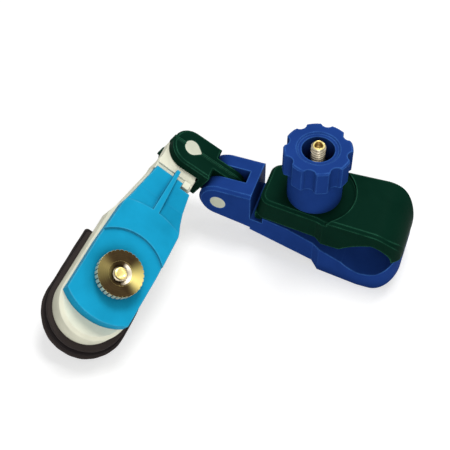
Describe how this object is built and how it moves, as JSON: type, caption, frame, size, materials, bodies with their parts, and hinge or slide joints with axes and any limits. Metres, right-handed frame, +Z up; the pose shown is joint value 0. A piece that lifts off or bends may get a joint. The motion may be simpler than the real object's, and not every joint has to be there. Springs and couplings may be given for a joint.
{
  "type": "hinged double clip with strap",
  "caption": "Two screw-tightened clips on a two-way hinge link: a bar clip with a tall lobed knob, and a flat clip with a thumb nut holding the end of a layered strap.",
  "frame": {"origin": "middle of the blue clip's flat foot, on the surface it stands on", "axes": "+X along the blue clip towards its jaws, +Z up out of the foot, along the knob's screw"},
  "size_m": [0.1023, 0.0855, 0.0477],
  "materials": {
    "blue": "moulded, semi-gloss royal blue",
    "green": "moulded, semi-gloss dark green",
    "light_blue": "moulded, semi-gloss light blue",
    "white": "moulded, semi-gloss warm white",
    "brass": "turned, lightly polished",
    "steel": "plain washers",
    "strap": "matt dark grey web",
    "strap_core": "matt grey web"
  },
  "bodies": {
    "blue_clip": {"blue_base": "blue", "base_hinge_pin": "white", "knob_screw": "brass"},
    "green_clamp_jaw": {"green_jaw": "green"},
    "knob_seat": {"knob_washer": "steel"},
    "clamp_knob": {"knob": "blue", "knob_insert": "brass"},
    "link": {"green_link": "green", "link_hinge_pin": "white"},
    "white_clip": {"white_base": "white", "nut_screw": "brass", "strap_upper_layer": "strap", "strap_middle_layer": "strap_core", "strap_lower_layer": "strap", "strap_washer": "brass"},
    "blue_clamp_jaw": {"light_blue_jaw": "light_blue"},
    "nut_seat": {"nut_washer": "steel"},
    "clamp_nut": {"thumb_nut": "brass"}
  },
  "joints": [
    {"name": "base_hinge", "type": "hinge", "parent": "blue_clip", "child": "link", "pos_m": [-0.045, 0, 0.017], "axis": [0, 1, 0], "range_deg": [-80, 60]},
    {"name": "link_hinge", "type": "hinge", "parent": "link", "child": "white_clip", "pos_m": [-0.05963, 0, 0.02585], "axis": [0.5173, 0, 0.8558], "range_deg": [-177, 3]},
    {"name": "jaw_tilt", "type": "hinge", "parent": "blue_clip", "child": "green_clamp_jaw", "pos_m": [-0.0312, 0, 0.014], "axis": [0, -1, 0], "range_deg": [0, 9.9]},
    {"name": "knob_lift", "type": "slide", "parent": "blue_clip", "child": "knob_seat", "axis": [0, 0, 1], "range_m": [0, 0.00476]},
    {"name": "knob_turn", "type": "hinge", "parent": "knob_seat", "child": "clamp_knob", "pos_m": [-0.0147, 0, 0.0247], "axis": [0, 0, 1], "range_deg": [0, 1620]},
    {"name": "blue_jaw_tilt", "type": "hinge", "parent": "white_clip", "child": "blue_clamp_jaw", "pos_m": [-0.05971, -0.01312, 0.02674], "axis": [-0.8551, 0.0401, 0.5169], "range_deg": [0, 2.3]},
    {"name": "nut_lift", "type": "slide", "parent": "white_clip", "child": "nut_seat", "axis": [0.5002, -0.1984, 0.8429], "range_m": [0, 0.00185]},
    {"name": "nut_turn", "type": "hinge", "parent": "nut_seat", "child": "clamp_nut", "pos_m": [-0.06225, -0.05226, 0.02557], "axis": [0.5002, -0.1984, 0.8429], "range_deg": [0, 630]}
  ],
  "couplings": [
    {"joint": "knob_turn", "follows": "knob_lift", "rad_per_m": 5938.7},
    {"joint": "jaw_tilt", "follows": "knob_lift", "rad_per_m": 36.292},
    {"joint": "nut_turn", "follows": "nut_lift", "rad_per_m": 5938.7},
    {"joint": "blue_jaw_tilt", "follows": "nut_lift", "rad_per_m": 21.681}
  ]
}
